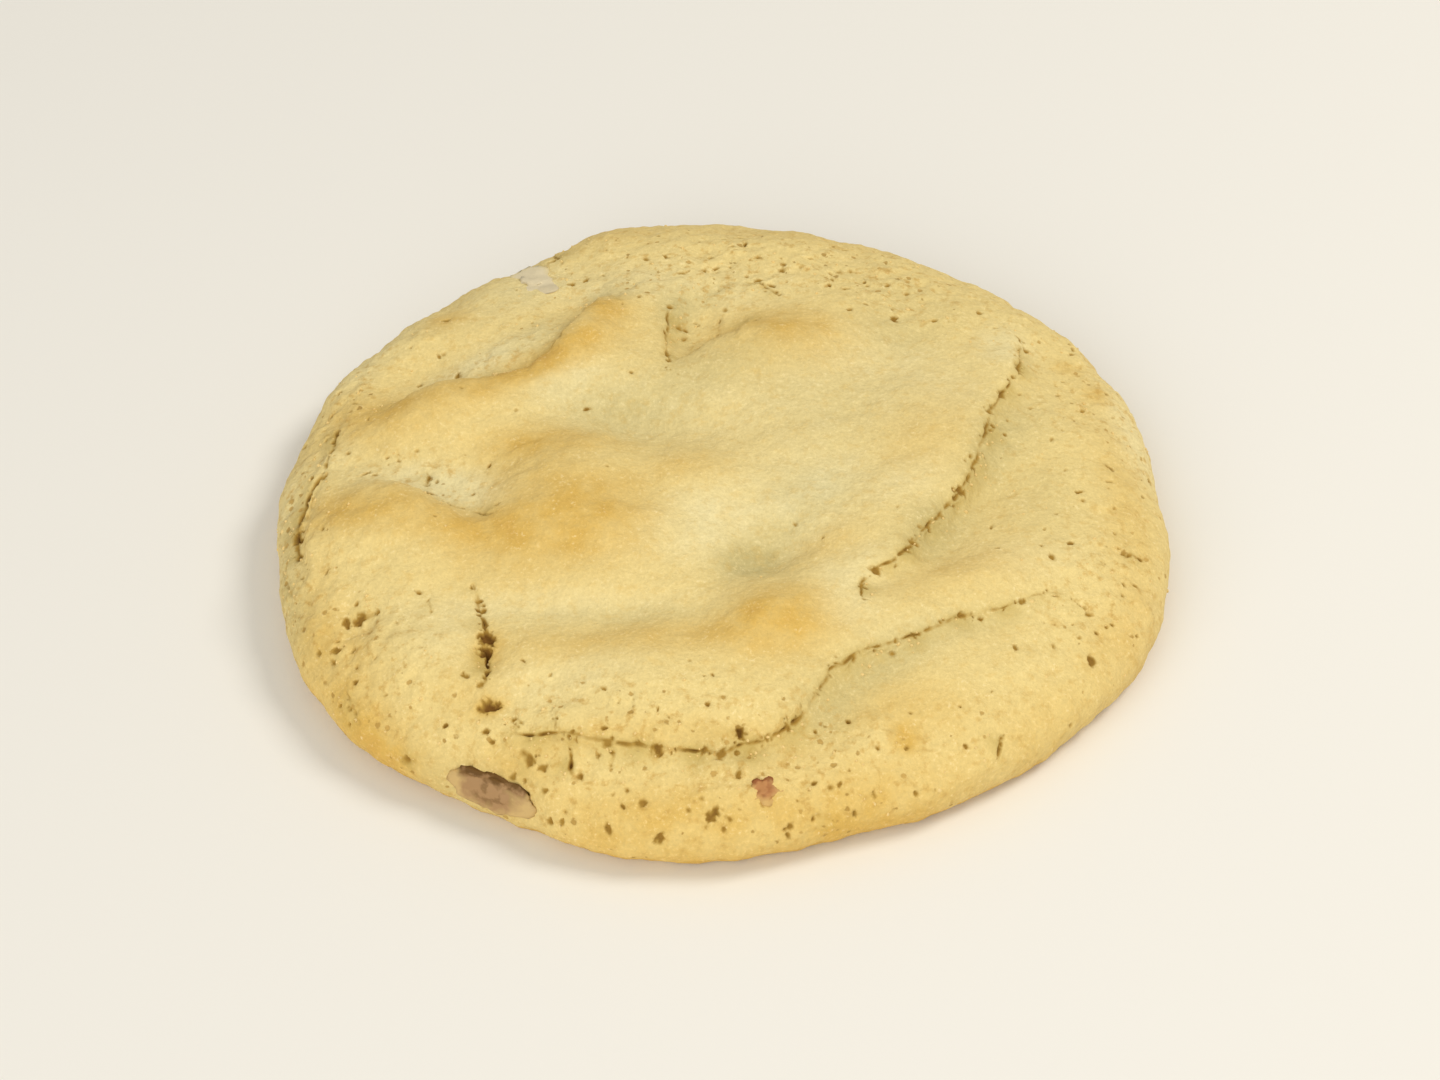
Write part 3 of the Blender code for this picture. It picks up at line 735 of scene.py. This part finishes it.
def ranged(tree, value, low, high, to_low=0.0, to_high=1.0):
    """The output of a value moved from one range to another, and held inside it."""
    made = add(tree, "ShaderNodeMapRange", {0: value, 1: low, 2: high, 3: to_low, 4: to_high})
    return made.outputs[0]


def maths(tree, operation, first, second):
    """The output of a sum, difference or product."""
    return add(tree, "ShaderNodeMath", {0: first, 1: second}, operation=operation).outputs[0]


def noise_pattern(tree, place, size, detail=4.0, roughness=0.5):
    """A noise pattern whose blotches are about a size in millimetres."""
    return add(tree, "ShaderNodeTexNoise", {"Vector": place, "Scale": 1 / (size * MM),
                                            "Detail": detail, "Roughness": roughness})


# Soft dough is dull. Its colours are mostly the crumb's own, but the olive of hollows, the seams'
# shade and the darkening of the cuts are painted shade.
DOUGH = "#EAD28D"
BROWN_CREST = "#DCB55D"
DEEP_BROWN = "#D0A34E"
CREAM_DOUGH = "#EFE0A9"
OLIVE_SHADE_DOUGH = "#CABA80"
SEAM_SHADE_OLIVE = "#BFA55A"
SHALLOW_CUT_SHADE = "#AB873A"
DEEP_CUT_SHADE = "#7A5319"
SPECK = "#A8823A"
SPECK_PALE = "#C79F52"
FLECK = "#F3E2B0"
MOTTLE_MM = 3.2
BLOTCH_MM = 1.1
GRAIN_MM = 0.4
DOUGH_ROUGHNESS = 0.62    # of these three patterns
SPECK_MM = 1.15
SPECK_RAGGED_MM = 0.55    # how far the specks' edges wander
SPECK_RAGGED_SIZE = 0.5
SPECK_STRENGTH = 0.8
SPECK_SUNK = -0.5
DOUGH_BUMP_MM = 0.22

dough, tree, shader = new_material("baked_dough", 0.8)
place = add(tree, "ShaderNodeTexCoord").outputs["Object"]
brown, cream, olive_and_shade, cut, pitted, painted_seam_shade = (
    add(tree, "ShaderNodeAttribute", attribute_name=name).outputs["Fac"]
    for name in ("browned", "cream", "olive_and_shade", "cut", "pitted", "seam_shade"))
mottle, blotch, grain = (
    noise_pattern(tree, place, size, roughness=DOUGH_ROUGHNESS).outputs["Fac"]
    for size in (MOTTLE_MM, BLOTCH_MM, GRAIN_MM))
ragged = noise_pattern(tree, place, SPECK_RAGGED_SIZE, detail=2.0).outputs["Color"]
wandered = add(tree, "ShaderNodeVectorMath", {0: ragged, 1: (SPECK_RAGGED_MM * MM,) * 3, 2: place},
               operation="MULTIPLY_ADD").outputs[0]
cells = add(tree, "ShaderNodeTexVoronoi", {"Vector": wandered, "Scale": 1 / (SPECK_MM * MM)})
uneven_brown = maths(tree, "MULTIPLY", brown, ranged(tree, mottle, 0.35, 0.65, 0.7, 1.3))
cream = maths(tree, "MULTIPLY", cream, ranged(tree, mottle, 0.35, 0.65, 0.75, 1.25))
olive_and_shade = maths(tree, "MULTIPLY", olive_and_shade, ranged(tree, blotch, 0.35, 0.65, 0.8, 1.2))
colour = mixed(tree, cream, linear(DOUGH), linear(CREAM_DOUGH))
colour = mixed(tree, ranged(tree, uneven_brown, 0.0, 1.0), colour, linear(BROWN_CREST))
colour = mixed(tree, ranged(tree, uneven_brown, 1.0, 1.7), colour, linear(DEEP_BROWN))
# Olive in hollows and valleys: the dough's own cast together with painted shade
colour = mixed(tree, olive_and_shade, colour, linear(OLIVE_SHADE_DOUGH))
colour = mixed(tree, ranged(tree, blotch, 0.5, 0.75, 0.0, 0.35), colour, linear(BROWN_CREST))
crumb_blotch = maths(tree, "MULTIPLY", ranged(tree, blotch, 0.54, 0.7, 0.0, 0.6), pitted)
colour = mixed(tree, crumb_blotch, colour, linear(SPECK_PALE))
fleck = maths(tree, "MULTIPLY", ranged(tree, grain, 0.56, 0.76, 0.0, 0.6),
              ranged(tree, mottle, 0.4, 0.62, 0.15, 1.0))
colour = mixed(tree, fleck, colour, linear(FLECK))
fine = ranged(tree, grain, 0.25, 0.7, 0.88, 1.06)
fine = add(tree, "ShaderNodeCombineColor", {0: fine, 1: fine, 2: fine}).outputs[0]
colour = mixed(tree, 1.0, colour, fine, blend="MULTIPLY")
# Painted shade on the dough beside the cracks' lips, olive in tint
colour = mixed(tree, ranged(tree, painted_seam_shade, 0.0, 1.0, 0.0, 0.68), colour, linear(SEAM_SHADE_OLIVE))
# A cell of the pattern holds a speck where its random shade is under the crowding there
chosen, speck_shade, _ = add(tree, "ShaderNodeSeparateColor", {0: cells.outputs["Color"]}).outputs
speck_size = maths(tree, "SUBTRACT", ranged(tree, pitted, 0.0, 1.0, 0.0, 0.55), chosen)
speck_edge = maths(tree, "SUBTRACT", ranged(tree, speck_size, 0.0, 0.5, 0.0, 0.3),
                   cells.outputs["Distance"])
speck = ranged(tree, speck_edge, -0.04, 0.06)
speck_colour = mixed(tree, speck_shade, linear(SPECK), linear(SPECK_PALE))
colour = mixed(tree, maths(tree, "MULTIPLY", speck, SPECK_STRENGTH), colour, speck_colour)
# Slits and pits darken with their depth: painted shade, partly the browner torn crumb inside
colour = mixed(tree, ranged(tree, cut, 0.03, 0.35), colour, linear(SHALLOW_CUT_SHADE))
colour = mixed(tree, ranged(tree, cut, 0.35, 0.9), colour, linear(DEEP_CUT_SHADE))
tree.links.new(colour, shader.inputs["Base Color"])
lumps = maths(tree, "ADD", maths(tree, "ADD", grain, blotch), maths(tree, "MULTIPLY", speck, SPECK_SUNK))
bump = add(tree, "ShaderNodeBump",
           {"Height": lumps, "Strength": 0.6, "Distance": DOUGH_BUMP_MM * MM})
tree.links.new(bump.outputs["Normal"], shader.inputs["Normal"])
crust_mesh.materials.clear()
crust_mesh.materials.append(dough)
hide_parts("cookie")
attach(crust, "root")

# Crumbs
# Loose grains of dough that broke from the cracks' edges and lie stuck beside them. One small
# lump is strewn over the crust where an attribute says so, and realized.
CRUMB_COUNT = 520
CRUMB_MM = (0.1, 0.24)
CRUMB_SEED = 5
CRUMB_COLOUR = "#E8CC8A"
CRUMB_SQUASH = ((0.6, 0.7, 0.5), (1.3, 1.0, 0.9))
CRUMB_CLEAR = 0.05     # crumbs of a seam lie only where its slit is less deep than this
CRUMB_STRAY = 0.1      # how many stray crumbs lie where pits crowd
FULL_TURN = 6.28

crumby = np.clip(seam_shade * (slit_depth < CRUMB_CLEAR) + CRUMB_STRAY * crowded, 0, 1) * is_top
write_layer(crust_mesh, "crumby", crumby)
spread = bpy.data.node_groups.new("strew_crumbs", "GeometryNodeTree")
for label, kind in (("Crust", "NodeSocketGeometry"), ("Density", "NodeSocketFloat"),
                    ("Smallest", "NodeSocketFloat"), ("Largest", "NodeSocketFloat"),
                    ("Seed", "NodeSocketInt"), ("Material", "NodeSocketMaterial")):
    spread.interface.new_socket(label, in_out="INPUT", socket_type=kind)
spread.interface.new_socket("Crumbs", in_out="OUTPUT", socket_type="NodeSocketGeometry")
given = add(spread, "NodeGroupInput")
where = add(spread, "GeometryNodeInputNamedAttribute", {"Name": "crumby"}, data_type="FLOAT")
density = maths(spread, "MULTIPLY", where.outputs[0], given.outputs["Density"])
strewn = add(spread, "GeometryNodeDistributePointsOnFaces",
             {"Mesh": given.outputs["Crust"], "Density": density, "Seed": given.outputs["Seed"]})
lump_shape = add(spread, "GeometryNodeMeshIcoSphere", {"Radius": 1.0, "Subdivisions": 1})
size = add(spread, "FunctionNodeRandomValue",
           {"Min": given.outputs["Smallest"], "Max": given.outputs["Largest"],
            "Seed": given.outputs["Seed"]}, data_type="FLOAT")
turn = add(spread, "FunctionNodeRandomValue", {0: (0.0,) * 3, 1: (FULL_TURN,) * 3},
           data_type="FLOAT_VECTOR")
squash = add(spread, "FunctionNodeRandomValue", {0: CRUMB_SQUASH[0], 1: CRUMB_SQUASH[1]},
             data_type="FLOAT_VECTOR")
scale = add(spread, "ShaderNodeVectorMath", {0: squash.outputs[0], "Scale": size.outputs[1]},
            operation="SCALE")
placed = add(spread, "GeometryNodeInstanceOnPoints",
             {"Points": strewn.outputs["Points"], "Instance": lump_shape.outputs["Mesh"],
              "Rotation": turn.outputs[0], "Scale": scale.outputs[0]})
real = add(spread, "GeometryNodeRealizeInstances", {"Geometry": placed.outputs["Instances"]})
painted = add(spread, "GeometryNodeSetMaterial",
              {"Geometry": real.outputs[0], "Material": given.outputs["Material"]})
add(spread, "NodeGroupOutput", {"Crumbs": painted.outputs[0]})

crumb_paint, tree, shader = new_material("dough_crumbs", 0.85)
shader.inputs["Base Color"].default_value = linear(CRUMB_COLOUR)
carrier = new_object("crumb_carrier", crust_mesh.copy())
strewing = carrier.modifiers.new("crumbs", "NODES")
strewing.node_group = spread
area = float(np.pi * (DOME_RADIUS * MM) ** 2 * crumby[is_top].mean())
values = {"Density": CRUMB_COUNT / area, "Smallest": CRUMB_MM[0] * MM, "Largest": CRUMB_MM[1] * MM,
          "Seed": CRUMB_SEED, "Material": crumb_paint}
for item in spread.interface.items_tree:
    if item.name in values:
        strewing[item.identifier] = values[item.name]
bpy.context.view_layer.update()
evaluated = carrier.evaluated_get(bpy.context.evaluated_depsgraph_get())
crumb_mesh = bpy.data.meshes.new_from_object(evaluated)
crumb_mesh.name = "dough_crumbs"
bpy.data.objects.remove(carrier)
crumbs = new_object("dough_crumbs", crumb_mesh)
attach(crumbs, "root")

# Filling that shows at the edge
# Three bits of filling baked into the dough: a pale smooth lump at the back left, a purple-brown
# one under a lid of dough at the front left, and a small reddish chip in the front band.
# Each: plan place and height of its middle, half sizes along the edge, up it and out of it, how
# uneven it is, and its colours in the painted shade under the dough's lid, in the open, and where
# it thins into dough.
FILLINGS = {
    "pale_filling_lump": dict(
        at=(-19.9, 33.7, 9.4), half=(2.8, 3.2, 0.6), rough=0.5,
        colours=("#D2C3A0", "#DFD0AC", "#E3D09A")),
    "dark_filling_lump": dict(
        at=(-23.6, -40.3, 4.1), half=(4.4, 1.9, 0.7), rough=0.35,
        colours=("#6A4A1E", "#A98459", "#CBAB70")),
    "reddish_chip": dict(
        at=(3.7, -44.1, 7.7), half=(1.5, 1.2, 0.6), rough=0.6,
        colours=("#965B32", "#B9824F", "#CFA866")),
}
SUNK = 0.45            # how far in the lumps' middles lie, in half sizes out of the skin
SKIN_NEAR = 60         # how many corners of the crust a lump takes its place and tilt from
SWELL_WAVES = (1.7, 6)    # about how many swells cross a lump's half size, large and small ones
LID_REACH = 0.42       # how far the lid's shade falls over a lump
THIN_FROM = 0.4        # where a lump starts to thin into dough, and how fast it does
THIN_RATE = 1.8
LID_HOLDS = 1.2        # how much the lid's shade holds off the thinning
PATCH_MM = 1.1
FILLING_BUMP_MM = 0.15

skin = tree_of(moved)


def filling_lump(name, at, half, rough, colours):
    """An uneven lump set into the crust at a place on its skin, and turned with it."""
    near = [i for _, i, _ in skin.find_n(at, SKIN_NEAR)]
    middle = Vector(moved[near].mean(0))
    out = Vector(base_normals[near].mean(0)).normalized()
    middle -= out * half[2] * SUNK
    along = Vector((-out.y, out.x, 0)).normalized()
    bm = bmesh.new()
    bmesh.ops.create_icosphere(bm, subdivisions=4, radius=1)
    painted_lid_shade = []
    thinned = []
    for vert in bm.verts:
        swell = (1 + rough * noise.noise(vert.co * SWELL_WAVES[0] + middle)
                 + rough / 3 * noise.noise(vert.co * SWELL_WAVES[1]))
        x, y, z = vert.co * swell
        lid_shade_share = (1 - (math.sqrt(max(0, 1 - x * x)) - y) / LID_REACH) * (1 - x ** 4)
        painted_lid_shade.append(lid_shade_share)
        thinned.append((math.hypot(x, y * 0.8) - THIN_FROM) * THIN_RATE - LID_HOLDS * max(0, lid_shade_share))
        vert.co = (middle + along * x * half[0] + out.cross(along) * y * half[1]
                   + out * z * half[2]) * MM
    mesh = bpy.data.meshes.new(name)
    bm.to_mesh(mesh)
    bm.free()
    mesh.shade_smooth()
    write_layer(mesh, "painted_lid_shade", np.clip(painted_lid_shade, 0, 1))
    write_layer(mesh, "thinned", np.clip(thinned, 0, 1))

    paint, tree, shader = new_material(name.replace("_lump", ""), 0.6)
    lid_shade_colour, opened, edge = (linear(colour) for colour in colours)
    place = add(tree, "ShaderNodeTexCoord").outputs["Object"]
    patches = noise_pattern(tree, place, PATCH_MM).outputs["Fac"]
    lid, thin = (add(tree, "ShaderNodeAttribute", attribute_name=label).outputs["Fac"]
                 for label in ("painted_lid_shade", "thinned"))
    patchy = maths(tree, "ADD", lid, ranged(tree, patches, 0.35, 0.65, -0.45, 0.5))
    # The top of a lump, under the dough's lid, gets painted shade
    blend = mixed(tree, ranged(tree, patchy, 0.1, 0.75), opened, lid_shade_colour)
    frayed = maths(tree, "ADD", thin, ranged(tree, patches, 0.3, 0.7, -0.3, 0.3))
    blend = mixed(tree, ranged(tree, frayed, 0.2, 0.9), blend, edge)
    tree.links.new(blend, shader.inputs["Base Color"])
    bump = add(tree, "ShaderNodeBump",
               {"Height": patches, "Strength": 0.4, "Distance": FILLING_BUMP_MM * MM})
    tree.links.new(bump.outputs["Normal"], shader.inputs["Normal"])
    mesh.materials.append(paint)

    lump = new_object(name, mesh)
    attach(lump, "root")
    return lump


filling_lump("pale_filling_lump", **FILLINGS["pale_filling_lump"])
filling_lump("dark_filling_lump", **FILLINGS["dark_filling_lump"])
filling_lump("reddish_chip", **FILLINGS["reddish_chip"])

# Floor and light
# A plain pale floor under soft daylight from the right and a little behind.
FLOOR_HALF = 1.5
FLOOR_COLOUR = "#EFECE5"
floor_mesh = bpy.data.meshes.new("floor")
floor_mesh.from_pydata([(-FLOOR_HALF, -FLOOR_HALF, 0), (FLOOR_HALF, -FLOOR_HALF, 0),
                        (FLOOR_HALF, FLOOR_HALF, 0), (-FLOOR_HALF, FLOOR_HALF, 0)], [], [(0, 1, 2, 3)])
floor = new_object("floor", floor_mesh)
floor_paint, tree, shader = new_material("pale_floor", 0.6)
shader.inputs["Base Color"].default_value = linear(FLOOR_COLOUR)
floor_mesh.materials.append(floor_paint)

# Each lamp: place in metres, size in metres, watts and colour
LAMPS = {
    "window": ((0.46, 0.06, 0.6), 0.3, 2.45, "#FFFBF2"),
    "front fill": ((-0.3, -0.7, 0.42), 0.9, 4.4, "#FFFDF8"),
}
SKY_COLOUR = "#FFFDF8"
SKY_STRENGTH = 0.48
for name, (place, size, watts, tint) in LAMPS.items():
    lamp_data = bpy.data.lights.new(name, "AREA")
    lamp_data.shape = "DISK"
    lamp_data.size = size
    lamp_data.energy = watts
    lamp_data.color = linear(tint)[:3]
    lamp = new_object(name, lamp_data)
    lamp.location = place
    lamp.rotation_euler = (-Vector(place)).to_track_quat("-Z", "Y").to_euler()
world = bpy.data.worlds.new("soft_room")
world.use_nodes = True
bpy.context.scene.world = world
sky = world.node_tree.nodes["Background"]
sky.inputs["Color"].default_value = linear(SKY_COLOUR)
sky.inputs["Strength"].default_value = SKY_STRENGTH
bpy.context.scene.view_settings.view_transform = "Standard"
bpy.context.scene.view_settings.look = "None"
